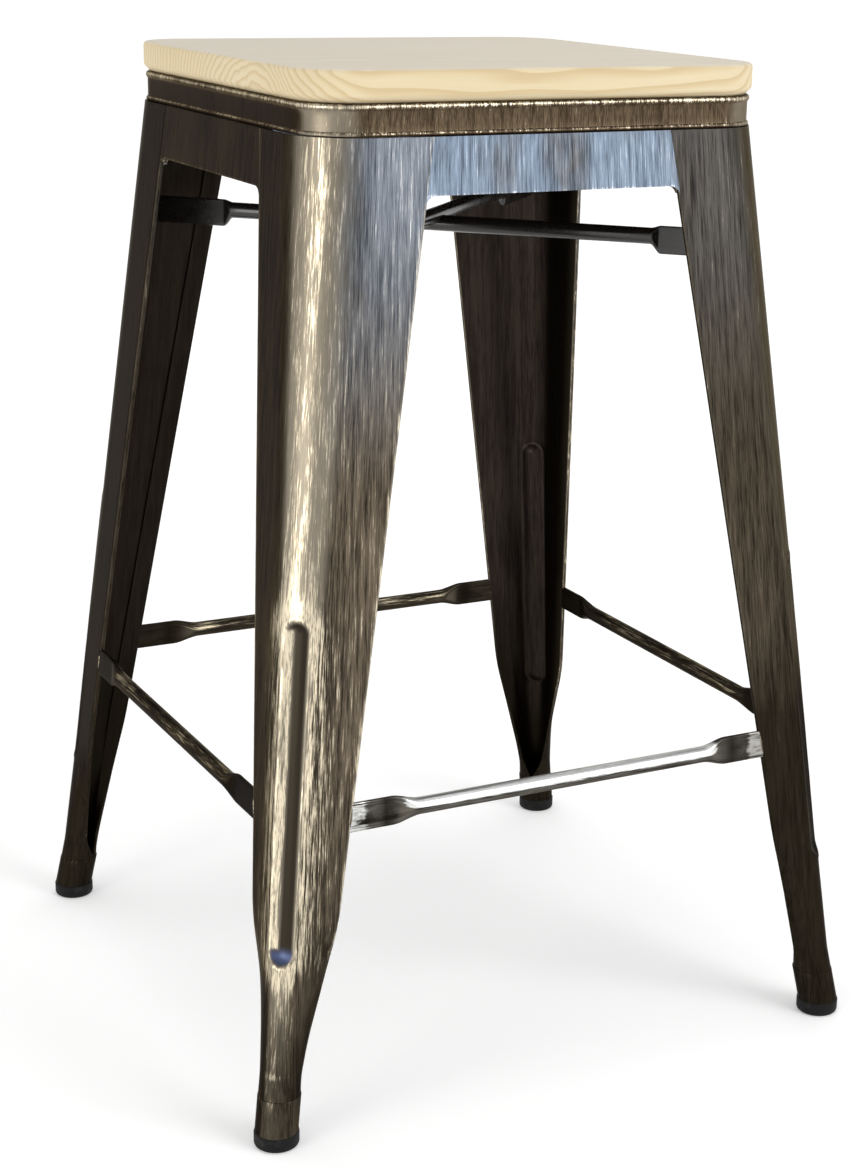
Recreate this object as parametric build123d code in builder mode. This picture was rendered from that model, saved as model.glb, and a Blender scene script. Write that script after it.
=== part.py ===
"""Bar stool: a wooden seat board on a pressed-steel frame.

Four splayed channel legs and four apron panels hang from a shallow seat pan.
Two crossed braces tie the legs under the seat, and four rails ring them as a footrest.
The origin is on the floor at the stool's centre, +Z is up, and the front is the -Y side.
"""

import os
from build123d import *

# ---- seat -------------------------------------------------------------------------
seat_height = 600.0          # floor to the top of the board
board_thickness = 18.0
board_width = 294.0
board_corner = 35.0          # corner radius in plan
board_bottom_chamfer = 4.0
board_top_round = 2.0

pan_width = 292.0
pan_corner = 34.0
pan_depth = 18.0             # height of the pan's skirt
pan_sheet = 1.2
bead_height = 3.8            # rolled bead at the top of the skirt
lip_height = 2.8             # rolled lip at the bottom of the skirt
band_recess = 1.1            # how far the band sits back between bead and lip
bead_round = 1.7

# ---- frame sheet and leg shape ------------------------------------------------------
sheet = 1.5                  # leg and apron sheet
hem = 12.0                   # width of the edge that is folded back inside a leg
edge_round = 0.8
shelf = 1.5                  # step that carries legs and aprons in behind the skirt

leg_top_half = 148.0         # axis to the outer face of a leg, at the top
leg_splay = 0.0913           # outward travel of that face per mm down
wing_top = 72.5              # width of a leg's wing, at the top
wing_taper = 0.0808
corner_top = 40.0            # outer corner radius of a leg, at the top
corner_taper = 0.0612

kick_height = 128.0          # below this a leg narrows faster towards its round foot
crease_height = 44.0         # where the outer face bends down into the foot
tube_top = 30.0              # where the rolled sheet meets the closed foot tube
tube_radius = 12.7
tube_step = 0.3              # how far the rolled sheet sits inside the tube's outer face
tube_lean = 0.165            # outward travel of the foot tube per mm down
foot_centre = 191.0          # axis to the middle of a foot, along X and along Y
crease_wrap = 86.0           # degrees each wing is rolled round past the corner's quarter turn
foot_wrap = 130.0            # the same where they meet the foot tube
rolled_hem = 20.0            # degrees of the folded edge, where the wings are rolled
roll_tightening = 0.2        # how much tighter the rolled wings curve than the corner

# ---- stamped rib on each leg's corner -------------------------------------------------
rib_bottom = 116.0
rib_top = 297.0
rib_radius = 9.0
rib_depth = 3.5

# ---- aprons, braces and footrest rails -------------------------------------------------
apron_edge = 532.5           # height of the aprons' lower edge
apron_return = 5.0           # depth of the return along that edge
opening_corner = 7.0
opening_run = 21.0           # how far the opening's cutter runs down below that edge
hollow_depth = 10.0          # depth cleared behind an apron's face
ear_height = 4.5             # how far the aprons' rounded ears run down the legs' edges

rod = 10.0                   # round bar of the rails and braces
flat_height = 17.0           # pressed flat ends of that bar
flat_thickness = 3.0
flat_corner = 1.4
rail_height = 189.5
rail_flat = 26.0             # length of a rail's flat end
rail_shoulder = 18.0         # length over which flat turns into round
brace_height = 496.0
brace_rise = 5.0             # the second brace crosses this much higher
brace_drop = 2.0             # the braces' flat ends hang this much lower
brace_flat_start = 101.5     # axis to where a brace's end is fully flat, along X
brace_round_end = 97.0

# ---- feet and screws ---------------------------------------------------------------
cap_height = 9.0
cap_radius = 13.2
cap_round = 2.0
plug_top = 22.0
screw_spacing = 180.0
screw_radius = 2.0
screw_length = 14.0
head_radius = 4.0
head_height = 2.4
head_round = 0.8
washer_radius = 5.5
washer_thickness = 1.0
hole_radius = 2.25

# ---- modelling margins -----------------------------------------------------------------
reach = 250.0                # longer than anything it cuts
near_enough = 0.01           # tolerance when a corner is picked by its position
section_relief = 0.05        # keeps a round section's corners just under half its width
diagonal = 2**0.5            # diagonal of a unit square

pan_top = seat_height - board_thickness
frame_top = pan_top - pan_depth
plate_underside = pan_top - pan_sheet
skirt_inside = pan_width / 2 - band_recess - pan_sheet
skirt_corner = pan_corner - band_recess - pan_sheet
tongue_half = skirt_inside - sheet
rod_corner = rod / 2 - section_relief
opening_low = apron_edge - opening_run
rolled_radius = tube_radius - tube_step


def foot_axis(z):
    """Distance of the foot tube's centre from the stool's axis at height z."""
    return foot_centre + tube_lean * (cap_height / 2 - z)


def outer_half(z):
    """Distance from the stool's axis to a leg's outer faces at height z, above the foot tube."""
    if z >= kick_height:
        return leg_top_half + leg_splay * (frame_top - z)
    return foot_axis(z) + rolled_radius


def wing_width(z):
    """Width of a leg's flat wing at height z, from the kick upwards."""
    return wing_top - wing_taper * (frame_top - z)


def corner_radius(z):
    """Outer radius of a leg's corner at height z, above the foot tube."""
    if z >= kick_height:
        return corner_top - corner_taper * (frame_top - z)
    return rolled_radius


def gap_half(z):
    """Half of the gap between two neighbouring legs at height z."""
    return outer_half(z) - wing_width(z)


leg_stations = [tube_top, crease_height, kick_height, frame_top]


def leg_section(z):
    """Channel section of the front left leg: two flat hemmed wings joined by a round corner."""
    half = outer_half(z)
    radius = corner_radius(z)
    tip = -gap_half(z)
    middle = radius - half
    outer = -half
    inner = sheet - half
    folded = 2 * sheet - half
    with BuildSketch(Plane.XY.offset(z)) as section:
        with BuildLine():
            CenterArc((middle, middle), radius, 180, 90)
            Polyline(
                (middle, outer),
                (tip, outer),
                (tip, folded),
                (tip - hem, folded),
                (tip - hem, inner),
                (middle, inner),
            )
            CenterArc((middle, middle), radius - sheet, 180, 90)
            Polyline(
                (inner, middle),
                (inner, tip - hem),
                (folded, tip - hem),
                (folded, tip),
                (outer, tip),
                (outer, middle),
            )
        make_face()
        ends = section.vertices().filter_by(
            lambda v: abs(v.X - tip) < near_enough or abs(v.Y - tip) < near_enough
        )
        fillet(ends, radius=edge_round)
    return section.sketch


def rolled_section(z, wrap):
    """Section lower down, with each wing rolled round by wrap degrees towards a closed tube."""
    middle = -foot_axis(z)
    inner = rolled_radius - sheet
    wing_outer = rolled_radius - roll_tightening
    wing_inner = wing_outer - sheet
    wing_folded = wing_outer - 2 * sheet
    flat_wrap = wrap - rolled_hem
    near_side = (middle, middle - roll_tightening)
    far_side = (middle - roll_tightening, middle)

    def spot(centre, radius, angle):
        return Vector(*centre) + Vector(radius, 0).rotate(Axis.Z, angle)

    tips = [spot(near_side, radius, 270 + wrap) for radius in (wing_outer, wing_folded)]
    tips += [spot(far_side, radius, 180 - wrap) for radius in (wing_outer, wing_folded)]
    with BuildSketch(Plane.XY.offset(z)) as section:
        with BuildLine():
            CenterArc((middle, middle), rolled_radius, 180, 90)
            CenterArc(near_side, wing_outer, 270, wrap)
            Line(tips[0], tips[1])
            CenterArc(near_side, wing_folded, 270 + wrap, -rolled_hem)
            Line(spot(near_side, wing_folded, 270 + flat_wrap), spot(near_side, wing_inner, 270 + flat_wrap))
            CenterArc(near_side, wing_inner, 270 + flat_wrap, -flat_wrap)
            CenterArc((middle, middle), inner, 180, 90)
            CenterArc(far_side, wing_inner, 180, -flat_wrap)
            Line(spot(far_side, wing_inner, 180 - flat_wrap), spot(far_side, wing_folded, 180 - flat_wrap))
            CenterArc(far_side, wing_folded, 180 - flat_wrap, -rolled_hem)
            Line(tips[3], tips[2])
            CenterArc(far_side, wing_outer, 180 - wrap, wrap)
        make_face()
        ends = section.vertices().filter_by(
            lambda v: min(abs(v.X - tip.X) + abs(v.Y - tip.Y) for tip in tips) < near_enough
        )
        fillet(ends, radius=edge_round)
    return section.sketch


def frame_volume(inset, stations):
    """Solid filling of the four-legged frame, set in from the legs' outer faces."""
    with BuildPart() as volume:
        for z in stations:
            side = 2 * (outer_half(z) - inset)
            with BuildSketch(Plane.XY.offset(z)):
                RectangleRounded(side, side, corner_radius(z) - inset)
        loft(ruled=True)
    return volume.part


def window_sketch(low, high, grow, corner):
    """Outline of the gap between two legs, as seen along Y, from height low to high."""
    low_half = gap_half(low) + grow
    high_half = gap_half(high) + grow
    with BuildSketch(Plane.XZ) as window:
        with BuildLine():
            Polyline((-low_half, low), (low_half, low), (high_half, high), (-high_half, high), close=True)
        make_face()
        if corner:
            fillet(window.vertices().group_by(Axis.Z)[-1], radius=corner)
    return window.sketch


# ---- seat board ----------------------------------------------------------------------
with BuildPart() as seat_board:
    with BuildSketch(Plane.XY.offset(pan_top)):
        RectangleRounded(board_width, board_width, board_corner)
    extrude(amount=board_thickness)
    chamfer(seat_board.faces().sort_by(Axis.Z)[0].edges(), length=board_bottom_chamfer)
    fillet(seat_board.faces().sort_by(Axis.Z)[-1].edges(), radius=board_top_round)
    with Locations(Plane.XY.offset(pan_top)):
        with GridLocations(screw_spacing, screw_spacing, 2, 2):
            Cylinder(
                screw_radius,
                screw_length - pan_sheet - washer_thickness,
                align=(Align.CENTER, Align.CENTER, Align.MIN),
                mode=Mode.SUBTRACT,
            )

# ---- seat pan: flat plate with a beaded skirt --------------------------------------------
with BuildPart() as seat_pan:
    with BuildSketch(Plane.XY.offset(frame_top)):
        RectangleRounded(pan_width, pan_width, pan_corner)
    extrude(amount=pan_depth)
    fillet(seat_pan.faces().sort_by(Axis.Z)[-1].edges(), radius=bead_round)
    with BuildSketch(Plane.XY.offset(frame_top + lip_height)):
        RectangleRounded(2 * reach, 2 * reach, pan_corner)
        band_width = pan_width - 2 * band_recess
        RectangleRounded(band_width, band_width, pan_corner - band_recess, mode=Mode.SUBTRACT)
    extrude(amount=pan_depth - lip_height - bead_height, mode=Mode.SUBTRACT)
    with BuildSketch(Plane.XY.offset(frame_top)):
        RectangleRounded(2 * skirt_inside, 2 * skirt_inside, skirt_corner)
    extrude(amount=pan_depth - pan_sheet, mode=Mode.SUBTRACT)
    with Locations(Plane.XY.offset(pan_top)):
        with GridLocations(screw_spacing, screw_spacing, 2, 2):
            Hole(hole_radius)

# ---- legs --------------------------------------------------------------------------
outer_volume = frame_volume(0, leg_stations)
inner_volume = frame_volume(sheet, leg_stations)


def rib_axis(z):
    """Point on the line that the rib's round cutter follows, outside the leg's corner."""
    radius = corner_radius(z)
    centre = radius - outer_half(z) - (radius + rib_radius - rib_depth) / diagonal
    return (centre, centre, z)


def rib_capsule(radius):
    """Round-ended bar along the leg's corner."""
    end = Vector(*rib_axis(rib_top))
    along = (end - Vector(*rib_axis(kick_height))).normalized()
    start = end - along * (rib_top - rib_bottom)
    length = (end - start).length
    with BuildPart() as capsule:
        with BuildSketch(Plane(origin=start, x_dir=along, z_dir=(1, -1, 0))):
            with BuildLine():
                CenterArc((0, 0), radius, 90, 90)
                CenterArc((length, 0), radius, 0, 90)
                Line((0, radius), (length, radius))
                Line((-radius, 0), (length + radius, 0))
            make_face()
        revolve(axis=Axis(start, along))
    return capsule.part


with BuildPart() as rib_ridge:
    add(rib_capsule(rib_radius + sheet))
    add(outer_volume, mode=Mode.INTERSECT)

with BuildPart() as leg_front_left:
    add(rolled_section(tube_top, foot_wrap))
    add(rolled_section(crease_height, crease_wrap))
    add(leg_section(kick_height))
    add(leg_section(frame_top))
    loft(ruled=True)
    # closed round foot tube
    for station in (cap_height, tube_top):
        with BuildSketch(Plane.XY.offset(station)):
            with Locations((-foot_axis(station), -foot_axis(station))):
                Circle(tube_radius)
    loft(ruled=True)
    for station in (cap_height, tube_top):
        with BuildSketch(Plane.XY.offset(station)):
            with Locations((-foot_axis(station), -foot_axis(station))):
                Circle(tube_radius - sheet)
    loft(ruled=True, mode=Mode.SUBTRACT)
    # step and tongue that are welded inside the pan's skirt
    edge = -gap_half(frame_top)
    with BuildSketch(Plane.XY.offset(frame_top - shelf)):
        RectangleRounded(2 * leg_top_half, 2 * leg_top_half, corner_top)
        RectangleRounded(2 * tongue_half, 2 * tongue_half, skirt_corner - sheet, mode=Mode.SUBTRACT)
        with Locations((-reach + edge, -reach + edge)):
            Rectangle(2 * reach, 2 * reach, mode=Mode.INTERSECT)
    extrude(amount=shelf)
    with BuildSketch(Plane.XY.offset(frame_top - shelf)):
        RectangleRounded(2 * skirt_inside, 2 * skirt_inside, skirt_corner)
        RectangleRounded(2 * tongue_half, 2 * tongue_half, skirt_corner - sheet, mode=Mode.SUBTRACT)
        with Locations((-reach + edge, -reach + edge)):
            Rectangle(2 * reach, 2 * reach, mode=Mode.INTERSECT)
    extrude(amount=plate_underside - frame_top + shelf)
    # stamped rib: a ridge inside and a groove outside
    add(rib_ridge.part)
    add(rib_capsule(rib_radius), mode=Mode.SUBTRACT)

with BuildPart() as leg_front_right:
    mirror(leg_front_left.part, about=Plane.YZ)

with BuildPart() as leg_back_left:
    mirror(leg_front_left.part, about=Plane.XZ)

with BuildPart() as leg_back_right:
    mirror(leg_front_right.part, about=Plane.XZ)


# ---- aprons ---------------------------------------------------------------------------
def apron_slab(near, far):
    """Tilted slab in line with the legs' front faces, between two depths behind them."""
    with BuildPart() as slab:
        for z in (apron_edge - ear_height, frame_top):
            with BuildSketch(Plane.XY.offset(z)):
                with Locations((0, (near + far) / 2 - outer_half(z))):
                    Rectangle(reach, far - near)
        loft(ruled=True)
    return slab.part


with BuildPart() as apron_hollow:
    add(apron_slab(sheet, hollow_depth))
    return_band = window_sketch(opening_low, apron_edge + sheet, sheet, opening_corner + sheet)
    extrude(return_band, amount=reach, both=True, mode=Mode.SUBTRACT)

with BuildPart() as apron_front:
    add(apron_slab(0, apron_return))
    opening = window_sketch(opening_low, apron_edge, 0, opening_corner)
    extrude(opening, amount=reach, both=True, mode=Mode.SUBTRACT)
    # hollow the slab behind its face, but keep the return along the lower edge
    add(apron_hollow.part, mode=Mode.SUBTRACT)
    # step and tongue that are welded inside the pan's skirt
    with BuildSketch(Plane.XY.offset(frame_top - shelf)):
        with Locations((0, -(leg_top_half + tongue_half) / 2)):
            Rectangle(reach, leg_top_half - tongue_half)
    extrude(amount=shelf)
    with BuildSketch(Plane.XY.offset(frame_top - shelf)):
        with Locations((0, -(skirt_inside + tongue_half) / 2)):
            Rectangle(reach, sheet)
    extrude(amount=plate_underside - frame_top + shelf)
    # the ends butt against the legs' hemmed edges
    with BuildSketch(Plane.XZ):
        add(window_sketch(opening_low, frame_top - shelf, 0, 0))
        with Locations((0, frame_top - shelf + pan_depth / 2)):
            Rectangle(2 * gap_half(frame_top), pan_depth)
    extrude(amount=reach, both=True, mode=Mode.INTERSECT)


# ---- footrest rails -----------------------------------------------------------------
def rail_section(x, height, thickness, corner):
    """Cross section of a rail at x, tilted like the legs' front faces."""
    centre = outer_half(rail_height) - flat_thickness / 2
    plane = Plane(origin=(x, -centre, rail_height), x_dir=(0, leg_splay, 1), z_dir=(1, 0, 0))
    with BuildSketch(plane) as section:
        RectangleRounded(height, thickness, corner)
    return section.sketch


with BuildPart() as rail_front:
    rail_end = gap_half(rail_height)
    for end, flat, shoulder in (
        (-rail_end - flat_height, -rail_end + rail_flat, -rail_end + rail_flat + rail_shoulder),
        (rail_end + flat_height, rail_end - rail_flat, rail_end - rail_flat - rail_shoulder),
    ):
        add(rail_section(end, flat_height, flat_thickness, flat_corner))
        add(rail_section(flat, flat_height, flat_thickness, flat_corner))
        loft(ruled=True)
        add(rail_section(flat, flat_height, flat_thickness, flat_corner))
        add(rail_section(shoulder, rod, rod, rod_corner))
        loft(ruled=True)
    add(rail_section(rail_flat + rail_shoulder - rail_end, rod, rod, rod_corner))
    add(rail_section(rail_end - rail_flat - rail_shoulder, rod, rod, rod_corner))
    loft(ruled=True)
    rail_gap = window_sketch(rail_height - flat_height, rail_height + flat_height, 0, 0)
    extrude(rail_gap, amount=reach, both=True, mode=Mode.INTERSECT)


def turned(shape, angle):
    """The same piece on another side of the stool."""
    with BuildPart() as copy:
        add(shape, rotation=(0, 0, angle))
    return copy


apron_right = turned(apron_front.part, 90)
apron_back = turned(apron_front.part, 180)
apron_left = turned(apron_front.part, 270)
rail_right = turned(rail_front.part, 90)
rail_back = turned(rail_front.part, 180)
rail_left = turned(rail_front.part, 270)


# ---- crossed braces under the seat ------------------------------------------------------
def brace(height, side):
    """Round bar from corner to corner with pressed flat ends; side picks the diagonal."""
    along = Vector(1 / diagonal, side / diagonal, 0)

    def section(distance, tall, thick, corner, drop):
        plane = Plane(origin=along * distance + Vector(0, 0, height - drop), x_dir=(0, 0, 1), z_dir=along)
        with BuildSketch(plane) as outline:
            RectangleRounded(tall, thick, corner)
        return outline.sketch

    flat = (flat_height, flat_thickness, flat_corner, brace_drop)
    round_bar = (rod, rod, rod_corner, 0)
    with BuildPart() as bar:
        for direction in (-1, 1):
            add(section(direction * reach, *flat))
            add(section(direction * brace_flat_start * diagonal, *flat))
            loft(ruled=True)
            add(section(direction * brace_flat_start * diagonal, *flat))
            add(section(direction * brace_round_end * diagonal, *round_bar))
            loft(ruled=True)
        add(section(-brace_round_end * diagonal, *round_bar))
        add(section(brace_round_end * diagonal, *round_bar))
        loft(ruled=True)
        add(inner_volume, mode=Mode.INTERSECT)
    return bar


brace_lower = brace(brace_height, -1)
brace_over = brace(brace_height + brace_rise, 1)
# the upper brace is pressed over the lower one where they cross
with BuildPart() as brace_upper:
    add(brace_over.part)
    add(brace_lower.part, mode=Mode.SUBTRACT)


# ---- rubber foot caps -------------------------------------------------------------------
def foot_cap(side_x, side_y):
    """Round cap under a foot tube, with a plug that fills the tube's mouth."""
    with BuildPart() as cap:
        with BuildSketch(Plane.XY):
            with Locations((side_x * foot_axis(cap_height), side_y * foot_axis(cap_height))):
                Circle(cap_radius)
        extrude(amount=cap_height)
        fillet(cap.faces().sort_by(Axis.Z)[0].edges(), radius=cap_round)
        for station in (cap_height, plug_top):
            with BuildSketch(Plane.XY.offset(station)):
                with Locations((side_x * foot_axis(station), side_y * foot_axis(station))):
                    Circle(tube_radius - sheet)
        loft(ruled=True)
    return cap


foot_cap_front_left = foot_cap(-1, -1)
foot_cap_front_right = foot_cap(1, -1)
foot_cap_back_left = foot_cap(-1, 1)
foot_cap_back_right = foot_cap(1, 1)

# ---- screws and washers that hold the board to the pan ---------------------------------
washer_bottom = plate_underside - washer_thickness
with BuildPart() as seat_washers:
    with BuildSketch(Plane.XY.offset(washer_bottom)):
        with GridLocations(screw_spacing, screw_spacing, 2, 2):
            Circle(washer_radius)
            Circle(screw_radius, mode=Mode.SUBTRACT)
    extrude(amount=washer_thickness)

with BuildPart() as seat_screws:
    with BuildSketch(Plane.XY.offset(washer_bottom - head_height)):
        with GridLocations(screw_spacing, screw_spacing, 2, 2):
            Circle(head_radius)
    extrude(amount=head_height)
    fillet(seat_screws.faces().group_by(Axis.Z)[0].edges(), radius=head_round)
    with BuildSketch(Plane.XY.offset(washer_bottom)):
        with GridLocations(screw_spacing, screw_spacing, 2, 2):
            Circle(screw_radius)
    extrude(amount=screw_length)

pieces = {
    "seat_board": seat_board,
    "seat_pan": seat_pan,
    "leg_front_left": leg_front_left,
    "leg_front_right": leg_front_right,
    "leg_back_left": leg_back_left,
    "leg_back_right": leg_back_right,
    "apron_front": apron_front,
    "apron_right": apron_right,
    "apron_back": apron_back,
    "apron_left": apron_left,
    "rail_front": rail_front,
    "rail_right": rail_right,
    "rail_back": rail_back,
    "rail_left": rail_left,
    "brace_lower": brace_lower,
    "brace_upper": brace_upper,
    "foot_cap_front_left": foot_cap_front_left,
    "foot_cap_front_right": foot_cap_front_right,
    "foot_cap_back_left": foot_cap_back_left,
    "foot_cap_back_right": foot_cap_back_right,
    "seat_washers": seat_washers,
    "seat_screws": seat_screws,
}

os.makedirs("parts", exist_ok=True)
for name, piece in pieces.items():
    piece.part.label = name
    export_step(piece.part, f"parts/{name}.step")
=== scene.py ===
"""Bar stool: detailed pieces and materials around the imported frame, in metres."""
import math

import bmesh
import bpy
from mathutils import Matrix, Vector, noise


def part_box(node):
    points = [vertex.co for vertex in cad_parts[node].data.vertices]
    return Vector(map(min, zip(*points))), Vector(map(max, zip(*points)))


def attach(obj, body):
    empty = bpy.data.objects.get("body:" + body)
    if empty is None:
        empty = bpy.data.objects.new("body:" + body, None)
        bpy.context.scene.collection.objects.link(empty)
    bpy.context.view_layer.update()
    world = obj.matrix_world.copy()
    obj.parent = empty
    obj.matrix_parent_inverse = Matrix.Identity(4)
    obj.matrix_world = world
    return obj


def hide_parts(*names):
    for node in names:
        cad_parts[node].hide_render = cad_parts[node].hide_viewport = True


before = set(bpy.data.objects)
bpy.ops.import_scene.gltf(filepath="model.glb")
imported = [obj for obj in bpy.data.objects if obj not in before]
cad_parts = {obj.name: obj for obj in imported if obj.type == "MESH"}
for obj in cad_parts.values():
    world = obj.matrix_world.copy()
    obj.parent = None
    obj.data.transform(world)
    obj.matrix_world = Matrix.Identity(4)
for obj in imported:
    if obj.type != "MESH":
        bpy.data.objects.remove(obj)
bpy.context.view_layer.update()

# ---- shape of the frame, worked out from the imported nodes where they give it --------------
pan_low, pan_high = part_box("seat_pan")
board_low, board_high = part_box("seat_board")
cap_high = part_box("foot_cap_front_right")[1]
rail_low, rail_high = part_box("rail_front")
lower_low, lower_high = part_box("brace_lower")
upper_low, upper_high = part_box("brace_upper")

sheet = 0.0015
frame_top = pan_low.z
leg_top_half = 0.148
leg_splay = 0.0913
wing_top = 0.0725
wing_taper = 0.0808
corner_top = 0.040
corner_taper = 0.0612
kick_height = 0.128
crease_height = 0.044
hem = 0.012
tube_radius = 0.0127
tube_step = 0.0003           # how far the rolled sheet sits inside the tube's outer face
rolled_radius = tube_radius - tube_step
tube_top = 0.030
crease_wrap = math.radians(86)    # how far a wing is rolled past the corner's quarter turn
foot_wrap = math.radians(130)     # the same where it meets the foot tube
rolled_hem = math.radians(20)
roll_tightening = 0.0002
tube_lean = 0.165
cap_height = 0.009
cap_radius = 0.0132
foot_centre = cap_high.x - cap_radius
rib_low = 0.116
rib_high = 0.297
rib_half = 0.0080            # half the width of the stamped rib
rib_depth = 0.0034
apron_edge = 0.5325          # height of the aprons' lower edge
rod_radius = 0.005
flat_tall = 0.0085           # half the height of a flattened bar end
flat_thick = 0.0015          # half its thickness
rail_height = (rail_low.z + rail_high.z) / 2
rail_flat = 0.026            # length of a rail's flat end
rail_shoulder = 0.018        # length over which flat turns into round
brace_drop = 0.002           # how much lower the braces' flat ends hang
brace_flat = 0.1435          # axis to where a brace is fully flat, along it
brace_round = 0.1372         # and to where it is still round
lower_height = (lower_low.z + lower_high.z) / 2 + brace_drop
upper_height = (upper_low.z + upper_high.z) / 2 + brace_drop
diagonal = math.sqrt(2)

corners = {
    "front_left": (-1, -1),
    "front_right": (1, -1),
    "back_left": (-1, 1),
    "back_right": (1, 1),
}
sides = {"front": 0, "right": 90, "back": 180, "left": 270}


def foot_axis(z):
    """Distance of a foot tube's centre from the axis, along X and along Y."""
    return foot_centre + tube_lean * (cap_height - z)


def outer_half(z):
    """Distance from the axis to a leg's flat outer faces, from the kick upwards."""
    return leg_top_half + leg_splay * (frame_top - z)


def gap_half(z):
    """Half of the gap between two neighbouring legs, from the kick upwards."""
    return outer_half(z) - wing_top + wing_taper * (frame_top - z)


def corner_radius(z):
    """Outer radius of a leg's corner, from the kick upwards."""
    return corner_top - corner_taper * (frame_top - z)


def smooth(t):
    """0 below 0, 1 above 1, with a soft start and end between."""
    t = max(0.0, min(1.0, t))
    return t * t * (3 - 2 * t)


def bell(distance, width):
    """1 at no distance, falling away over about the width."""
    return math.exp(-((distance / width) ** 2))


# ---- mesh helpers ----------------------------------------------------------------------
def skin(name, islands, sharp=40, layers=None):
    """Mesh object of closed tubes. Each island is a list of equal rings, capped at both ends.

    Edges bent by more than sharp degrees stay crisp. The layers are values at the points.
    """
    mesh = bpy.data.meshes.new(name)
    bm = bmesh.new()
    for rings in islands:
        rows = [[bm.verts.new(p) for p in ring] for ring in rings]
        count = len(rows[0])
        for a, b in zip(rows, rows[1:]):
            for i in range(count):
                j = (i + 1) % count
                bm.faces.new((a[i], a[j], b[j], b[i]))
        bm.faces.new(rows[0])
        bm.faces.new(rows[-1])
    bmesh.ops.recalc_face_normals(bm, faces=bm.faces)
    bm.to_mesh(mesh)
    bm.free()
    for key, values in (layers or {}).items():
        layer = mesh.attributes.new(key, "FLOAT", "POINT")
        layer.data.foreach_set("value", values)
    for polygon in mesh.polygons:
        polygon.use_smooth = True
    mesh.set_sharp_from_angle(angle=math.radians(sharp))
    piece = bpy.data.objects.new(name, mesh)
    bpy.context.scene.collection.objects.link(piece)
    return piece


def square_ring(half, radius, z, steps=14, run=6):
    """Rounded square at height z."""
    ring = []
    for quarter in range(4):
        turn = math.pi / 2 * quarter
        centre = Matrix.Rotation(turn, 2) @ Vector((half - radius, half - radius))
        for k in range(steps + 1):
            angle = turn + math.pi / 2 * k / steps
            ring.append((centre.x + radius * math.cos(angle), centre.y + radius * math.sin(angle), z))
        turn_next = turn + math.pi / 2
        after = Matrix.Rotation(turn_next, 2) @ Vector((half - radius, half - radius))
        start = Vector(ring[-1])
        end = Vector((after.x + radius * math.cos(turn_next), after.y + radius * math.sin(turn_next), z))
        ring.extend(tuple(start.lerp(end, k / run)) for k in range(1, run))
    return ring


def circle_ring(centre_x, centre_y, radius, z, steps=36):
    """Circle at height z."""
    return [
        (
            centre_x + radius * math.cos(2 * math.pi * k / steps),
            centre_y + radius * math.sin(2 * math.pi * k / steps),
            z,
        )
        for k in range(steps)
    ]


def settle(piece, slot, material, *nodes):
    """Gives a piece its material and body, and puts it in place of its CAD nodes. The slot is not used."""
    piece.data.materials.append(material)
    if nodes:
        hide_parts(*nodes)
    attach(piece, "root")


# ---- materials ----------------------------------------------------------------------------
class Shader:
    """A node material around one Principled shader."""

    def __init__(self, name):
        self.material = bpy.data.materials.new(name)
        self.material.use_nodes = True
        self.tree = self.material.node_tree
        self.main = self.tree.nodes["Principled BSDF"]
        self.place = self.node("ShaderNodeTexCoord").outputs["Object"]

    def node(self, kind, **settings):
        made = self.tree.nodes.new(kind)
        for key, value in settings.items():
            setattr(made, key, value)
        return made

    def put(self, socket, value):
        if isinstance(value, bpy.types.NodeSocket):
            self.tree.links.new(value, socket)
        else:
            socket.default_value = value

    def math(self, operation, a, b=0.0, clamp=False):
        made = self.node("ShaderNodeMath", operation=operation, use_clamp=clamp)
        self.put(made.inputs[0], a)
        self.put(made.inputs[1], b)
        return made.outputs[0]

    def ramp(self, value, low, high):
        """0 below low, 1 above high, smooth between."""
        made = self.node("ShaderNodeMapRange", interpolation_type="SMOOTHSTEP")
        self.put(made.inputs["Value"], value)
        self.put(made.inputs["From Min"], low)
        self.put(made.inputs["From Max"], high)
        return made.outputs["Result"]

    def range(self, value, low, high):
        """A 0 to 1 value spread from low to high."""
        made = self.node("ShaderNodeMapRange")
        self.put(made.inputs["Value"], value)
        self.put(made.inputs["To Min"], low)
        self.put(made.inputs["To Max"], high)
        return made.outputs["Result"]

    def mix(self, amount, a, b):
        made = self.node("ShaderNodeMix", data_type="RGBA")
        self.put(made.inputs["Factor"], amount)
        self.put(made.inputs[6], (*a, 1) if isinstance(a, tuple) else a)
        self.put(made.inputs[7], (*b, 1) if isinstance(b, tuple) else b)
        return made.outputs[2]

    def vector(self, x, y, z):
        made = self.node("ShaderNodeCombineXYZ")
        for socket, value in zip(made.inputs, (x, y, z)):
            self.put(socket, value)
        return made.outputs[0]

    def noise(self, scale, detail=4.0, rough=0.55, shift=(0, 0, 0), place=None):
        """Noise that repeats scale times per metre along X, Y and Z."""
        mapping = self.node("ShaderNodeMapping")
        self.put(mapping.inputs["Vector"], place or self.place)
        mapping.inputs["Scale"].default_value = scale
        mapping.inputs["Location"].default_value = shift
        made = self.node("ShaderNodeTexNoise")
        self.put(made.inputs["Vector"], mapping.outputs[0])
        made.inputs["Scale"].default_value = 1.0
        made.inputs["Detail"].default_value = detail
        made.inputs["Roughness"].default_value = rough
        return made.outputs["Fac"]

    def attribute(self, name):
        return self.node("ShaderNodeAttribute", attribute_name=name).outputs["Fac"]

    def bump(self, height, strength, distance):
        made = self.node("ShaderNodeBump")
        made.inputs["Strength"].default_value = strength
        made.inputs["Distance"].default_value = distance
        self.put(made.inputs["Height"], height)
        self.put(self.main.inputs["Normal"], made.outputs[0])


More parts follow.
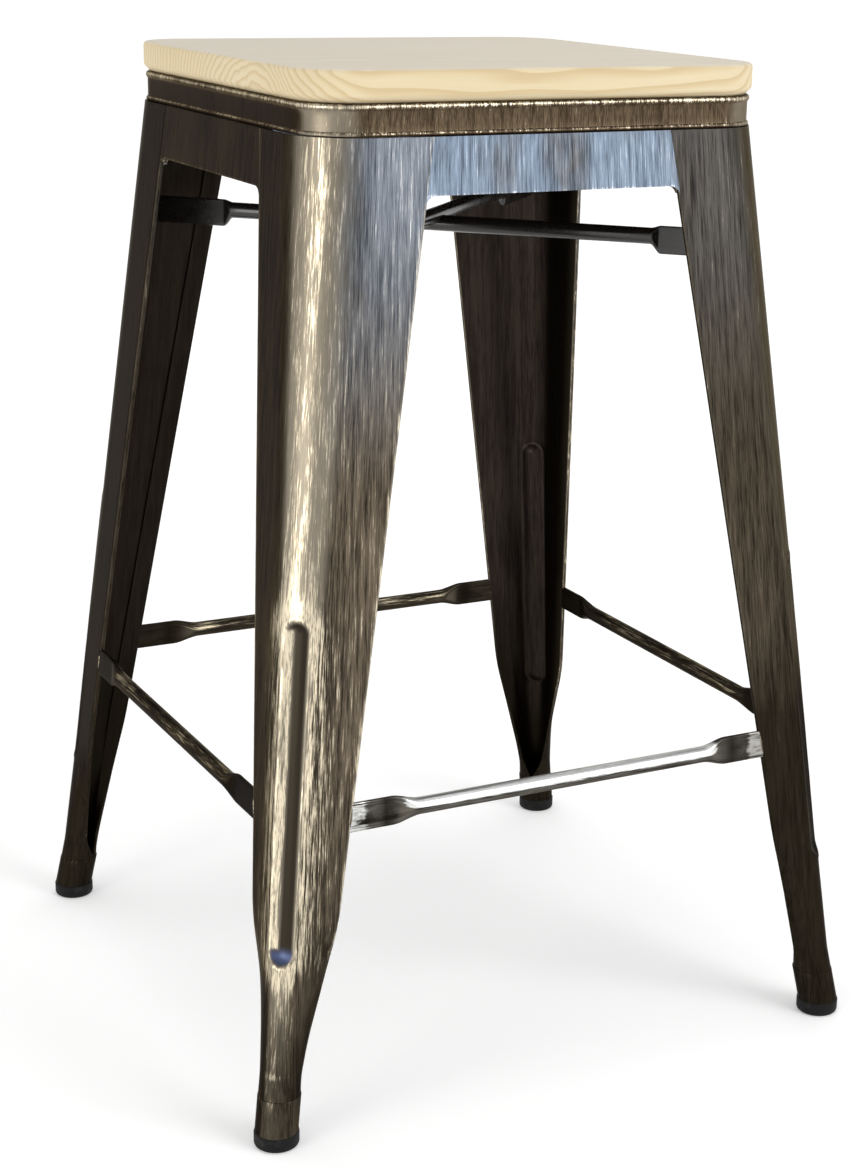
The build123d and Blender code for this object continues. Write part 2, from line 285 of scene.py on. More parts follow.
def leaning_place(s, parts):
    """Coordinates that lean out with the legs, so that streaks run down their length."""
    out = s.math("MULTIPLY", s.math("SUBTRACT", frame_top, parts.outputs["Z"]), leg_splay)
    scale = s.math("DIVIDE", leg_top_half, s.math("ADD", out, leg_top_half))
    return s.vector(
        s.math("MULTIPLY", parts.outputs["X"], scale),
        s.math("MULTIPLY", parts.outputs["Y"], scale),
        parts.outputs["Z"],
    )


def antique_steel(name, dark, middle, light, amount, cool, bar=False, edge_height=None, rub=0.13):
    """Antiqued dark steel: short streaks along the piece, more of them where the finish is rubbed, with
    painted shade, painted highlights and a painted cool sheen.
    """
    s = Shader(name)
    parts = s.node("ShaderNodeSeparateXYZ")
    s.put(parts.inputs[0], s.place)
    if bar:
        place = s.vector(s.attribute("around"), 0.0, s.attribute("along"))
    else:
        place = leaning_place(s, parts)
    fine = s.noise((1500, 1500, 48), 5.0, 0.68, (3, 1, 7), place)
    broad = s.noise((420, 420, 16), 5.0, 0.62, (11, 5, 2), place)
    cloud = s.noise((22, 22, 9), 4.0, 0.55, (2, 9, 4))
    fleck = s.noise((1700, 1700, 170), 2.0, 0.5, (0, 0, 0), place)
    normal = s.node("ShaderNodeSeparateXYZ")
    s.put(normal.inputs[0], s.node("ShaderNodeNewGeometry").outputs["Normal"])
    wear = s.attribute("wear")
    if edge_height is not None:
        below = s.math("SUBTRACT", 1.0, s.ramp(parts.outputs["Z"], edge_height, edge_height + 0.0016))
        wear = s.math("ADD", wear, s.math("MULTIPLY", below, 0.5))
    inside = s.attribute("inside")
    groove = s.attribute("groove")
    shade = s.attribute("shade")
    outside = s.math("SUBTRACT", 1.0, inside)

    # painted shade darkens the faces towards -X, the lower part and wherever the shade value is set; a
    # painted highlight lightens round corners
    left = s.ramp(s.math("MULTIPLY", normal.outputs["X"], -1.0), 0.90, 0.985)
    low = s.math("SUBTRACT", 1.0, s.ramp(parts.outputs["Z"], 0.035, 0.125))
    kept = s.math("SUBTRACT", 1.0, s.math("MULTIPLY", wear, 0.75, True))
    painted_shade = s.math("ADD", shade, s.math("MULTIPLY", s.math("MULTIPLY", left, 0.88), kept))
    painted_shade = s.math("ADD", painted_shade, s.math("MULTIPLY", low, 0.72), True)
    unshaded = s.math("SUBTRACT", 1.0, painted_shade)
    # painted highlight: round corners, where the normal turns between X and Y, get a lighter ground and more
    # streaks, less so higher up and under painted shade
    product = s.math("ABSOLUTE", s.math("MULTIPLY", normal.outputs["X"], normal.outputs["Y"]))
    corner = s.math("MULTIPLY", s.math("MULTIPLY", s.ramp(product, 0.10, 0.40), outside), unshaded)
    upper = s.ramp(parts.outputs["Z"], 0.36, 0.54)
    corner = s.math("MULTIPLY", corner, s.range(upper, 1.0, 0.80))

    pile = s.math("ADD", s.math("MULTIPLY", fine, 0.54), s.math("MULTIPLY", broad, 0.36))
    pile = s.math("ADD", pile, s.math("MULTIPLY", cloud, 0.18))
    worn = s.math("ADD", pile, s.math("MULTIPLY", wear, rub))
    # painted highlight on round corners adds streaks
    worn = s.math("ADD", worn, s.math("MULTIPLY", corner, 0.040))
    worn = s.math("SUBTRACT", worn, s.math("MULTIPLY", inside, 0.16))
    # painted shade in the rib's groove takes streaks away
    worn = s.math("SUBTRACT", worn, s.math("MULTIPLY", groove, 0.20))
    # fewer streaks under painted shade
    worn = s.math("SUBTRACT", worn, s.math("MULTIPLY", painted_shade, 0.055))
    streak = s.ramp(worn, 0.60 - amount, 0.71 - amount)
    streak = s.math("MULTIPLY", streak, s.range(s.ramp(fleck, 0.32, 0.56), 0.80 if bar else 0.25, 1.0))

    # painted cool sheen: upper outer faces turned towards ±Y take a blue-grey ground and blue-grey streaks
    facing = s.ramp(s.math("ABSOLUTE", normal.outputs["Y"]), 0.80, 0.985)
    painted_blue_sheen = s.math("MULTIPLY", s.math("MULTIPLY", facing, upper), outside)
    painted_blue_sheen = s.math("MULTIPLY", painted_blue_sheen, s.ramp(cloud, 0.22, 0.52))
    painted_blue_sheen = s.math("MULTIPLY", s.math("MULTIPLY", painted_blue_sheen, unshaded), cool, True)

    rise = s.ramp(pile, 0.42, 0.64)
    ground = s.mix(rise, dark, middle)
    # painted highlight on round corners
    ground = s.mix(s.math("MULTIPLY", corner, 0.70), ground, (0.30, 0.265, 0.205))
    ground = s.mix(s.math("MULTIPLY", inside, 0.8), ground, (0.016, 0.011, 0.011))
    # painted shade in the rib's groove darkens the ground
    ground = s.mix(s.math("MULTIPLY", groove, 0.92), ground, (0.010, 0.007, 0.004))
    glint = s.math("SUBTRACT", 1.0, s.ramp(parts.outputs["Z"], rib_low - 0.003, rib_low + 0.004))
    glint = s.math("MULTIPLY", s.math("MULTIPLY", groove, glint), s.ramp(unshaded, 0.6, 0.9))
    ground = s.mix(glint, ground, (0.07, 0.09, 0.17))
    # painted cool sheen and painted shade on the ground colour
    chill = s.mix(rise, (0.050, 0.064, 0.088), (0.20, 0.25, 0.32))
    ground = s.mix(painted_blue_sheen, ground, chill)
    ground = s.mix(s.math("MULTIPLY", painted_shade, 0.90), ground, (0.007, 0.005, 0.0025))
    # painted cool sheen, painted shade and the groove's painted shade on the streak colour
    shine = s.mix(painted_blue_sheen, light, (0.66, 0.70, 0.74))
    shine = s.mix(s.math("MULTIPLY", painted_shade, 0.90), shine, (0.13, 0.11, 0.075))
    shine = s.mix(s.math("MULTIPLY", groove, 0.75), shine, (0.10, 0.07, 0.05))
    s.put(s.main.inputs["Base Color"], s.mix(streak, ground, shine))
    s.put(s.main.inputs["Metallic"], s.range(streak, 0.80, 0.95))
    s.put(s.main.inputs["Roughness"], s.range(streak, 0.36, 0.30))
    s.main.inputs["Specular Tint"].default_value = (0.42, 0.39, 0.32, 1)
    s.main.inputs["Specular IOR Level"].default_value = 0.18
    s.bump(pile, 0.22, 0.0002)
    return s.material


def pale_wood():
    """Softwood with growth rings round a pith that runs along X, under the board."""
    s = Shader("pale_wood")
    warp = s.noise((3, 16, 20), 3.0, 0.5)
    parts = s.node("ShaderNodeSeparateXYZ")
    s.put(parts.inputs[0], s.place)
    out_y = s.math("ADD", parts.outputs["Y"], 0.06)
    out_z = s.math("SUBTRACT", parts.outputs["Z"], board_low.z - 0.05)
    radius = s.math("SQRT", s.math("ADD", s.math("MULTIPLY", out_y, out_y), s.math("MULTIPLY", out_z, out_z)))
    radius = s.math("ADD", radius, s.math("MULTIPLY", warp, 0.028))
    ring = s.math("FRACT", s.math("MULTIPLY", radius, 210.0))
    late = s.math("MULTIPLY", s.ramp(ring, 0.35, 0.93), s.math("SUBTRACT", 1.0, s.ramp(ring, 0.94, 1.0)))
    fibre = s.noise((22, 1300, 1300), 4.0, 0.6)
    patch = s.noise((5, 12, 12), 2.0, 0.5, (4, 4, 4))
    colour = s.mix(patch, (0.58, 0.475, 0.295), (0.66, 0.565, 0.38))
    colour = s.mix(s.math("MULTIPLY", late, 0.55), colour, (0.46, 0.32, 0.15))
    colour = s.mix(s.math("MULTIPLY", s.ramp(fibre, 0.45, 0.75), 0.20), colour, (0.53, 0.42, 0.26))
    normal = s.node("ShaderNodeSeparateXYZ")
    s.put(normal.inputs[0], s.node("ShaderNodeNewGeometry").outputs["Normal"])
    # painted sheen: faces turned upwards are greyed towards a pale white
    painted_top_sheen = s.math("MULTIPLY", s.ramp(normal.outputs["Z"], 0.4, 0.95), 0.62)
    colour = s.mix(painted_top_sheen, colour, (0.62, 0.60, 0.55))
    s.put(s.main.inputs["Base Color"], colour)
    s.put(s.main.inputs["Roughness"], s.range(fibre, 0.50, 0.70))
    s.main.inputs["Specular IOR Level"].default_value = 0.30
    s.bump(s.math("ADD", fibre, s.math("MULTIPLY", late, 0.4)), 0.12, 0.0002)
    return s.material


def black_gloss():
    """Glossy near-black paint with a few worn specks."""
    s = Shader("brace_black")
    wear = s.ramp(s.noise((900, 900, 900), 4.0, 0.6), 0.62, 0.74)
    soft = s.noise((70, 70, 70), 3.0, 0.5)
    s.put(s.main.inputs["Base Color"], s.mix(wear, (0.012, 0.010, 0.009), (0.10, 0.08, 0.06)))
    s.put(s.main.inputs["Roughness"], s.range(soft, 0.16, 0.40))
    s.main.inputs["Metallic"].default_value = 0.3
    s.main.inputs["Coat Weight"].default_value = 0.5
    s.main.inputs["Coat Roughness"].default_value = 0.12
    s.bump(soft, 0.12, 0.0004)
    return s.material


def black_rubber():
    """Dusty matte rubber."""
    s = Shader("black_rubber")
    grain = s.noise((1600, 1600, 1600), 3.0, 0.6)
    dust = s.ramp(s.noise((180, 180, 240), 4.0, 0.6), 0.52, 0.75)
    s.put(s.main.inputs["Base Color"], s.mix(dust, (0.006, 0.006, 0.006), (0.022, 0.021, 0.020)))
    s.put(s.main.inputs["Roughness"], s.range(grain, 0.50, 0.78))
    s.main.inputs["Specular IOR Level"].default_value = 0.15
    s.bump(grain, 0.20, 0.0003)
    return s.material


def plated():
    """Plain bright plating."""
    s = Shader("plated_fasteners")
    haze = s.noise((500, 500, 500), 4.0, 0.6)
    s.put(s.main.inputs["Base Color"], s.mix(haze, (0.50, 0.52, 0.54), (0.72, 0.73, 0.74)))
    s.put(s.main.inputs["Roughness"], s.range(haze, 0.25, 0.45))
    s.main.inputs["Metallic"].default_value = 1.0
    s.bump(haze, 0.10, 0.0002)
    return s.material


gold = (0.80, 0.70, 0.52)
soot_brown = (0.014, 0.011, 0.008)
bronze = (0.15, 0.120, 0.085)
frame_steel = antique_steel("antique_steel", soot_brown, bronze, gold, 0.0, 0.62)
apron_steel = antique_steel("apron_steel", soot_brown, bronze, gold, 0.0, 1.0, edge_height=apron_edge)
pan_steel = antique_steel("pan_steel", (0.030, 0.020, 0.012), (0.11, 0.080, 0.050), gold, -0.03, 0.0)
# the front rail's lighter copy is partly real wear where feet rest and partly painted light; the other rails'
# darker copy is partly painted shade
front_rail_steel = antique_steel(
    "rail_steel_worn_and_lit", (0.014, 0.012, 0.010), (0.15, 0.14, 0.125), (0.84, 0.85, 0.84), 0.0, 0.0,
    bar=True, rub=0.30,
)
rail_steel = antique_steel(
    "rail_steel", (0.010, 0.008, 0.006), (0.050, 0.040, 0.028), (0.50, 0.43, 0.30), -0.07, 0.0, bar=True
)
wood = pale_wood()
brace_black = black_gloss()
rubber = black_rubber()
zinc = plated()


# ---- legs -----------------------------------------------------------------------------------
def rib_shape(across, z):
    """How deep the stamped rib is at a place, how rubbed the sheet is there, and how much painted shade lies
    in its groove. One wall of the groove is painted lit as if rubbed.
    """
    past = max(0.0, z - rib_high, rib_low - z) / rib_half
    q = math.hypot(across / rib_half, past)
    depth = rib_depth * (1 - q * q) ** 1.4 if q < 1 else 0.0
    rim = bell(q - 1.12, 0.22)
    end = max(smooth((z - rib_high) / 0.004), smooth((rib_low + 0.003 - z) / 0.004))
    # painted shade: the groove's side towards -across and both its ends are dark
    shaded_groove_side = max(smooth((0.48 - across / rib_half) / 0.40), end)
    rubbed = smooth((q - 0.95) / 0.25) * bell(max(0.0, q - 1.3), 1.4)
    # painted highlight: inside the rib, the groove's wall away from its painted shade is lit as if rubbed
    if q < 1:
        rubbed = max(rubbed, 0.85 * (1 - shaded_groove_side))
    return depth - 0.0005 * rim, rubbed, smooth(2.2 * depth / rib_depth) * shaded_groove_side


wing_steps = 12              # points across a wing, round the corner and round a hemmed edge
arc_steps = 26
nose_steps = 4
pressed_from = 0.080         # below this height a leg has no rib, and its bends are tighter


def flat_wing(z):
    """Functions for a wing and the corner at height z, where the leg is an open channel."""
    bend = outer_half(z) - corner_radius(z)
    length = bend - gap_half(z)

    def wing(t, depth):
        return Vector((outer_half(z) - depth, bend - length * t, z))

    def corner(angle, depth):
        radius = corner_radius(z) - depth
        return Vector((bend + radius * math.cos(angle), bend + radius * math.sin(angle), z))

    return wing, corner, length, hem / length


def rolled_wing(z, wrap):
    """The same lower down, where the wings are rolled towards a tube."""
    middle = foot_axis(z)
    pushed = middle + roll_tightening
    tight = rolled_radius - roll_tightening

    def wing(t, depth):
        radius = tight - depth
        angle = -wrap * t
        return Vector((pushed + radius * math.cos(angle), middle + radius * math.sin(angle), z))

    def corner(angle, depth):
        radius = rolled_radius - depth
        return Vector((middle + radius * math.cos(angle), middle + radius * math.sin(angle), z))

    return wing, corner, tight * wrap, rolled_hem / wrap


def leg_path(wing, corner, length, fold):
    """Outline of a leg's section in the quarter where X and Y are positive.

    Each point comes with its distance from the free edge, and with whether it is inside or on the corner.
    """
    def other(point):
        return Vector((point.y, point.x, point.z))

    def bulge(k):
        angle = math.pi * k / nose_steps
        return wing(1 + 0.6 * sheet * math.sin(angle) / length, sheet * (1 - math.cos(angle)))

    quarter = [math.pi / 2 * k / arc_steps for k in range(arc_steps + 1)]
    flat = 1 - fold
    far = [
        (wing(k / wing_steps, 0), length * (1 - k / wing_steps), False, False)
        for k in range(1, wing_steps + 1)
    ]
    nose = [(bulge(k), 0.0, False, False) for k in range(1, nose_steps)]
    back = [(wing(1, 2 * sheet), 0.0, True, False), (wing(flat, 2 * sheet), fold * length, True, False)]
    back += [
        (wing(flat * (1 - k / wing_steps), sheet), length * (fold + flat * k / wing_steps), True, False)
        for k in range(wing_steps)
    ]
    half_out = far + nose + back
    outer = [(corner(angle, 0), length, False, True) for angle in reversed(quarter)]
    inner = [(corner(angle, sheet), length, True, True) for angle in quarter]
    mirrored = [(other(point), edge, within, on) for point, edge, within, on in half_out]
    return outer + half_out + inner + mirrored[::-1]


leg_stations = (
    (tube_top, leg_path(*rolled_wing(tube_top, foot_wrap))),
    (crease_height, leg_path(*rolled_wing(crease_height, crease_wrap))),
    (kick_height, leg_path(*flat_wing(kick_height))),
    (frame_top, leg_path(*flat_wing(frame_top))),
)


def leg_ring(z):
    """Section of a leg at height z, with each bend pressed to a soft curve, its wear with painted highlights,
    and painted shade low on one wing.
    """
    reach = 0.0030 if z < pressed_from else 0.010
    reach = max(0.0, min(reach, z - tube_top, frame_top - z))
    samples = []
    for k in range(-2, 3):
        at = z + reach * k / 2
        for (low, lower), (high, higher) in zip(leg_stations, leg_stations[1:]):
            if at <= high:
                break
        t = (at - low) / (high - low)
        samples.append([a[0].lerp(b[0], t) for a, b in zip(lower, higher)])
    points, wear, inside, groove, low_side_shade = [], [], [], [], []
    outline = leg_stations[1][1] if z < kick_height else leg_stations[3][1]
    for k, (_, edge, within, on_corner) in enumerate(outline):
        point = sum((sample[k] for sample in samples), Vector()) / len(samples)
        across = (point.x - point.y) / diagonal
        near_rib = z > pressed_from and abs(across) < 4.0 * rib_half
        # rib depth, its rubbed rim with the groove's painted lit wall, and the groove's painted shade
        depth, rim, deep = rib_shape(across, z) if near_rib else (0.0, 0.0, 0.0)
        # wear on the corner's bend, raised also as a painted highlight down the corner
        bent = bell(across, 0.010) if on_corner else 0.0
        # painted highlight: a bright band across the corner at the crease, carried in the wear values
        crease_highlight = bell(z - crease_height, 0.0022) * bell(across, 0.006)
        points.append(Vector((point.x - depth / diagonal, point.y - depth / diagonal, z)))
        rubbed = 0.0 if within else 0.6 * bell(edge, 0.0016)
        # wear, with painted highlights on the corner, the crease and the groove's wall
        wear.append(rubbed + 0.3 * bent + 0.9 * crease_highlight + (0.0 if within else 0.85 * rim))
        inside.append(1.0 if within else 0.0)
        groove.append(0.0 if within else deep)
        # painted shade low down on the wing towards Y
        low_side_shade.append(0.65 * smooth((0.19 - z) / 0.09) * smooth((-across - 0.006) / 0.014))
    return points, wear, inside, groove, low_side_shade


def leg_heights():
    """Heights of the rings, close together where the leg is pressed into shape."""
    heights = [tube_top]
    busy = (rib_low - 0.002, rib_high + 0.002)
    while heights[-1] < frame_top - 0.006:
        z = heights[-1]
        close = any(abs(z - b) < 0.011 for b in busy) or abs(z - crease_height) < 0.006
        kicked = abs(z - kick_height) < 0.014
        heights.append(z + (0.0010 if close else 0.0020 if kicked else 0.0055))
    return heights + [frame_top]


def leg_piece(corner, signs, shade, lower_shade):
    """Folded leg with its foot tube. The shades say how much painted shade darkens it, all over and low down.
    """
    rings, wear, inside, groove, dark = [], [], [], [], []
    for z in leg_heights():
        ring, worn, within, deep, low_side_shade = leg_ring(z)
        # painted shade, heavier low down
        shaded = shade + lower_shade * smooth((0.27 - z) / 0.14)
        rings.append([(signs[0] * x, signs[1] * y, h) for x, y, h in ring])
        wear.extend(w * (1 - shade) ** 2 for w in worn)
        inside.extend(within)
        groove.extend(deep)
        dark.extend(shaded + more for more in low_side_shade)
    tube = []
    rim = 0.0006
    tube_profile = (
        # height and inset from the outer face
        (cap_height, 0), (0.016, 0), (0.023, 0), (tube_top - rim, 0), (tube_top - rim / 3, rim / 3),
        (tube_top, rim), (tube_top, sheet), (tube_top - 0.004, sheet),
    )
    for z, inset in tube_profile:
        at = foot_axis(z)
        tube.append(circle_ring(signs[0] * at, signs[1] * at, tube_radius - inset, z))
        wear.extend([bell(z - tube_top, 0.0015) * 0.5] * len(tube[-1]))
        inside.extend([0.0] * len(tube[-1]))
        groove.extend([0.0] * len(tube[-1]))
        dark.extend([shade + lower_shade] * len(tube[-1]))
    layers = {"wear": wear, "inside": inside, "groove": groove, "shade": dark}
    return skin(f"leg_shell_{corner}", [rings, tube], 48, layers)


# how much painted shade darkens each leg: all over, and how much more low down
leg_shades = {
    "front_left": (0.0, 0.0),
    "front_right": (0.60, 0.95),
    "back_left": (0.75, 0.15),
    "back_right": (0.2, 0.3),
}
for corner, signs in corners.items():
    settle(leg_piece(corner, signs, *leg_shades[corner]), "frame_steel", frame_steel, f"leg_{corner}")

# ---- aprons keep their CAD shape ----------------------------------------------------------------
for side in sides:
    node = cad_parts[f"apron_{side}"]
    node.data.materials.clear()
    node.data.materials.append(apron_steel)

# ---- seat pan -----------------------------------------------------------------------------------
pan_profile = (
    # inset from the outer face and height above the lower lip
    (0.0023, 0.0168), (0.0023, 0.0006), (0.0019, 0.0001), (0.0008, 0.0001), (0.0002, 0.0006),
    (0.0, 0.0012), (0.0001, 0.0019), (0.0005, 0.0025), (0.0010, 0.0029), (0.0011, 0.0035),
    (0.0011, 0.0070), (0.0011, 0.0105), (0.0011, 0.0136), (0.0008, 0.0143), (0.0003, 0.0149),
    (0.0, 0.0157), (0.0001, 0.0165), (0.0005, 0.0173), (0.0011, 0.0178), (0.0018, 0.0180),
)
pan_corner = 0.034


def pan_piece():
    """Pressed pan: its plate and the beaded skirt."""
    rings, wear, inside = [], [], []
    for inset, rise in pan_profile:
        ring = square_ring(pan_high.x - inset, pan_corner - inset, pan_low.z + rise)
        rings.append(ring)
        worn = 1.3 * bell(rise - 0.0165, 0.0013) + 0.9 * bell(rise - 0.0022, 0.0007)
        wear.extend([worn] * len(ring))
        inside.extend([1.0 if inset > 0.0020 else 0.0] * len(ring))
    return skin("seat_pan_shell", [rings], 40, {"wear": wear, "inside": inside})


settle(pan_piece(), "frame_steel", pan_steel, "seat_pan")

# ---- seat board -----------------------------------------------------------------------------------
board_corner = 0.035
board_profile = (
    # inset from the side and height above the underside
    (0.0042, 0.0), (0.0036, 0.0003), (0.0007, 0.0032), (0.0001, 0.0040), (0.0, 0.0050), (0.0, 0.0100),
    (0.0, 0.0157), (0.0002, 0.0166), (0.0006, 0.0173), (0.0012, 0.0178), (0.0020, 0.0180),
)
board_rings = [
    square_ring(board_high.x - inset, board_corner - inset, board_low.z + rise, 18)
    for inset, rise in board_profile
]
settle(skin("seat_board_shaped", [board_rings], 50), "wood", wood, "seat_board")


# ---- bars with pressed ends --------------------------------------------------------------------------
def bar_section(roundness, steps=32):
    """Section from flat to round, as (upward, sideways) offsets."""
    section = []
    for k in range(steps):
        angle = 2 * math.pi * (k + 0.5) / steps
        c, s = math.cos(angle), math.sin(angle)
        flat = (
            math.copysign(abs(c) ** 0.28, c) * flat_tall,
            math.copysign(abs(s) ** 0.28, s) * flat_thick,
        )
        round_ = (c * rod_radius, s * rod_radius)
        section.append(tuple(f + (r - f) * roundness for f, r in zip(flat, round_)))
    return section


left_end_shade = 0.32        # how much painted shade darkens a rail's two flat ends
right_end_shade = 0.72


def rail_piece(side, angle):
    """Footrest rail along X at the front, turned to its side."""
    end = gap_half(rail_height)
    turn = Matrix.Rotation(math.radians(angle), 3, "Z")
    lift = Vector((0, leg_splay, 1)).normalized()
    out = Vector((0, -1, leg_splay)).normalized()
    centre = Vector((0, -(outer_half(rail_height) - flat_thick), rail_height))
    inward = [0, 0.008, 0.016, rail_flat - 0.004]
    inward += [rail_flat + rail_shoulder * k / 12 for k in range(13)]
    inward += [rail_flat + rail_shoulder + 0.012 * k for k in range(1, 40)]
    inward = [d for d in inward if d < end - 0.004]
    places = [-end + d for d in inward] + [0.0] + [end - d for d in reversed(inward)]
    rings, wear, around, length, dark = [], [], [], [], []
    for x in places:
        from_end = end - abs(x)
        section = bar_section(smooth((from_end - rail_flat) / rail_shoulder))
        ring = []
        for k, (up, aside) in enumerate(section):
            point = centre + lift * up + out * aside
            point.x = math.copysign(gap_half(point.z) - from_end, x) if from_end < 0.001 else x
            ring.append(turn @ point)
            # the round bar's top is worn and also painted as a highlight, and its underside gets fewer
            # streaks as painted shade
            top = smooth((up / rod_radius + 0.5) / 0.8)
            round_bar = smooth((from_end - rail_flat) / rail_shoulder)
            blot = bell(from_end - rail_flat * 0.88, 0.007)
            wear.append(round_bar * (1.6 * top - 0.6) - 1.2 * blot + 0.60 * bell(from_end - 0.004, 0.013))
            # painted shade on the flat ends; blot adds a dark patch in the finish
            end_shade = left_end_shade if x < 0 else right_end_shade
            dark.append(max(end_shade * (1 - round_bar), blot))
            around.append(0.0008 * min(k, len(section) - k))
            length.append(x + angle)
        rings.append(ring)
    layers = {"wear": wear, "around": around, "along": length, "shade": dark}
    return skin(f"rail_bar_{side}", [rings], 45, layers)


for side, angle in sides.items():
    steel = front_rail_steel if side == "front" else rail_steel
    settle(rail_piece(side, angle), "rail_steel", steel, f"rail_{side}")


def corner_reach(z):
    """Distance along a diagonal from the axis to the inside of a leg's corner."""
    radius = corner_radius(z)
    return (outer_half(z) - radius) * diagonal + radius - sheet


def brace_piece(name, height, side, over):
    """Round bar from corner to corner. The upper one is pressed over the lower."""
    along = Vector((1, side, 0)) / diagonal
    aside_axis = Vector((-side, 1, 0)) / diagonal
    end = corner_reach(height)
    steps = [0.002 * k for k in range(9)] + [0.025 + 0.014 * k for k in range(8)]
    steps += [brace_round + (brace_flat - brace_round) * k / 6 for k in range(7)] + [0.16, 0.18, end]
    places = [-d for d in reversed(steps)] + steps[1:]
    rings = []
    for d in places:
        flat = smooth((abs(d) - brace_round) / (brace_flat - brace_round))
        ring = []
        for up, aside in bar_section(1 - flat):
            z = height - brace_drop * flat + up
            if over and abs(d) < rod_radius:
                z = max(z, lower_height + math.sqrt(rod_radius**2 - d * d) + 0.0001)
            reach = math.copysign(corner_reach(z), d) if abs(d) >= end else d
            ring.append(along * reach + aside_axis * aside + Vector((0, 0, z)))
        rings.append(ring)
    return skin(name, [rings], 50)


settle(brace_piece("brace_bar_lower", lower_height, -1, False), "brace_steel", brace_black, "brace_lower")
settle(brace_piece("brace_bar_upper", upper_height, 1, True), "brace_steel", brace_black, "brace_upper")


# ---- weld beads between rails and legs ------------------------------------------------------------------
def bead_piece(side, angle):
    """A lumpy bead down each end of a rail, on its outer face."""
    turn = Matrix.Rotation(math.radians(angle), 3, "Z")
    islands = []
    for hand in (-1, 1):
        rings = []
        for k in range(25):
            t = k / 24
            z = rail_height + flat_tall * 0.82 * (2 * t - 1)
            lump = noise.noise(Vector((hand * 3 + angle, 9 * t, 1.7)))
            radius = 0.00095 * (0.35 + 0.65 * math.sin(math.pi * t)) * (1 + 0.5 * lump)
            x = hand * (gap_half(z) + 0.0004 * lump)
            y = -outer_half(z) + 0.0005
            rings.append([turn @ Vector(p) for p in circle_ring(x, y, radius, z, 12)])
        islands.append(rings)
    return skin(f"rail_welds_{side}", islands, 80)


for side, angle in sides.items():
    settle(bead_piece(side, angle), "frame_steel", frame_steel)


# ---- rubber caps ------------------------------------------------------------------------------------------
def cap_piece(corner, signs):
    """Rubber cap with the part of its plug that shows."""
    profile = (
        # radius and height
        (0.0112, 0.0), (0.0121, 0.0003), (0.0128, 0.0009), (0.0132, 0.0020), (0.0132, 0.0060),
        (0.0132, 0.0082), (0.0130, 0.0087), (0.0127, 0.0090), (0.0112, 0.0090), (0.0112, 0.0150),
    )
    rings = [
        circle_ring(signs[0] * foot_centre, signs[1] * foot_centre, radius, z, 48) for radius, z in profile
    ]
    return skin(f"foot_cap_moulded_{corner}", [rings], 50)


for corner, signs in corners.items():
    settle(cap_piece(corner, signs), "rubber", rubber, f"foot_cap_{corner}")

for name in ("seat_washers", "seat_screws"):
    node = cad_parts[name]
    node.data.materials.clear()
    node.data.materials.append(zinc)


# ---- floor, light and camera ---------------------------------------------------------------------------
def floor():
    """Pale floor that glows a little more with distance, so that it has no edge."""
    s = Shader("pale_floor")
    haze = s.noise((1.2, 1.2, 1.2), 2.0, 0.5)
    s.put(s.main.inputs["Base Color"], s.mix(haze, (0.90, 0.90, 0.90), (0.93, 0.93, 0.93)))
    s.main.inputs["Roughness"].default_value = 0.85
    parts = s.node("ShaderNodeSeparateXYZ")
    s.put(parts.inputs[0], s.place)
    squares = [s.math("MULTIPLY", parts.outputs[axis], parts.outputs[axis]) for axis in ("X", "Y")]
    distance = s.math("SQRT", s.math("ADD", *squares))
    glow = s.mix(s.ramp(distance, 0.6, 2.4), (0.44, 0.44, 0.44), (1.0, 1.0, 1.0))
    s.put(s.main.inputs["Emission Color"], glow)
    s.main.inputs["Emission Strength"].default_value = 0.52
    mesh = bpy.data.meshes.new("floor")
    reach = 40.0
    outline = [(-reach, -reach, 0), (reach, -reach, 0), (reach, reach, 0), (-reach, reach, 0)]
    mesh.from_pydata(outline, [], [(0, 1, 2, 3)])
    mesh.materials.append(s.material)
    plane = bpy.data.objects.new("floor", mesh)
    bpy.context.scene.collection.objects.link(plane)


def lamp(name, place, aim, width, height, power, colour):
    """Soft rectangular lamp at a place, turned to face its aim."""
    light = bpy.data.lights.new(name, "AREA")
    light.shape = "RECTANGLE"
    light.size, light.size_y = width, height
    light.energy = power
    light.color = colour
    holder = bpy.data.objects.new(name, light)
    holder.location = place
    holder.rotation_euler = (Vector(aim) - Vector(place)).to_track_quat("-Z", "Y").to_euler()
    bpy.context.scene.collection.objects.link(holder)


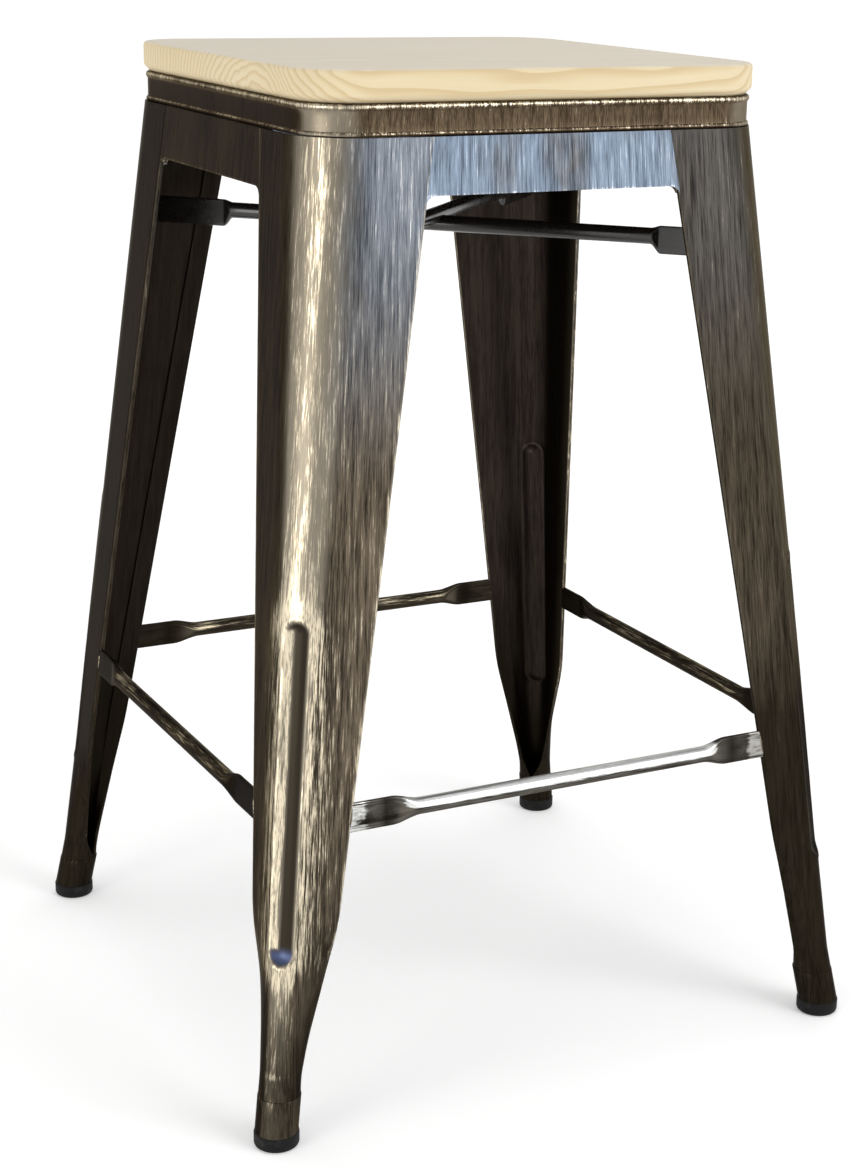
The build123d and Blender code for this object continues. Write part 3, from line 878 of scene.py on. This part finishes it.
def studio_world():
    """White round the horizon, greyer overhead."""
    world = bpy.data.worlds.new("studio")
    world.use_nodes = True
    sky = world.node_tree.nodes
    height = sky.new("ShaderNodeSeparateXYZ")
    fade = sky.new("ShaderNodeMapRange")
    links = world.node_tree.links
    links.new(height.inputs[0], sky.new("ShaderNodeTexCoord").outputs["Generated"])
    links.new(fade.inputs["Value"], height.outputs["Z"])
    links.new(sky["Background"].inputs["Color"], fade.outputs["Result"])
    fade.inputs["From Min"].default_value = 0.22
    fade.inputs["From Max"].default_value = 0.55
    fade.inputs["To Min"].default_value = 1.0
    fade.inputs["To Max"].default_value = 0.48
    bpy.context.scene.world = world


camera_azimuth = math.radians(-28.303)
camera_elevation = math.radians(17.0)
camera_roll = math.radians(1.249)
camera_distance = 1.43394
camera_target = Vector((0, 0, 0.300))
camera_right = 0.042886      # how far the camera stands to the right of its line to the target
camera_down = 0.044035       # and how far below it


def view_camera():
    """Camera that looks down on the stool from its front left, slightly rolled."""
    aside = Vector((math.cos(camera_azimuth), math.sin(camera_azimuth), 0))
    back = Vector((
        math.sin(camera_azimuth) * math.cos(camera_elevation),
        -math.cos(camera_azimuth) * math.cos(camera_elevation),
        math.sin(camera_elevation),
    ))
    upward = back.cross(aside)
    right = aside * math.cos(camera_roll) + upward * math.sin(camera_roll)
    up = upward * math.cos(camera_roll) - aside * math.sin(camera_roll)
    place = camera_target + right * camera_right - up * camera_down + back * camera_distance
    data = bpy.data.cameras.new("camera")
    data.sensor_width = 36.0
    data.lens = 68.003
    data.shift_x = -0.05523
    data.shift_y = 0.00775
    camera = bpy.data.objects.new("camera", data)
    camera.matrix_world = Matrix((
        (right.x, up.x, back.x, place.x),
        (right.y, up.y, back.y, place.y),
        (right.z, up.z, back.z, place.z),
        (0, 0, 0, 1),
    ))
    bpy.context.scene.collection.objects.link(camera)
    bpy.context.scene.camera = camera


floor()
bpy.context.scene.view_settings.view_transform = "Standard"
studio_world()
lamp("key", (1.5, -2.4, 1.7), (0, 0, 0.35), 1.6, 2.0, 41, (1.0, 1.0, 1.0))
lamp("edge", (-2.3, -0.85, 0.55), (-0.1, -0.1, 0.3), 0.95, 1.5, 18, (1.0, 0.98, 0.94))
lamp("top", (0.1, 0.3, 2.4), (0, 0, 0.3), 2.0, 2.0, 16, (1.0, 1.0, 1.0))
view_camera()
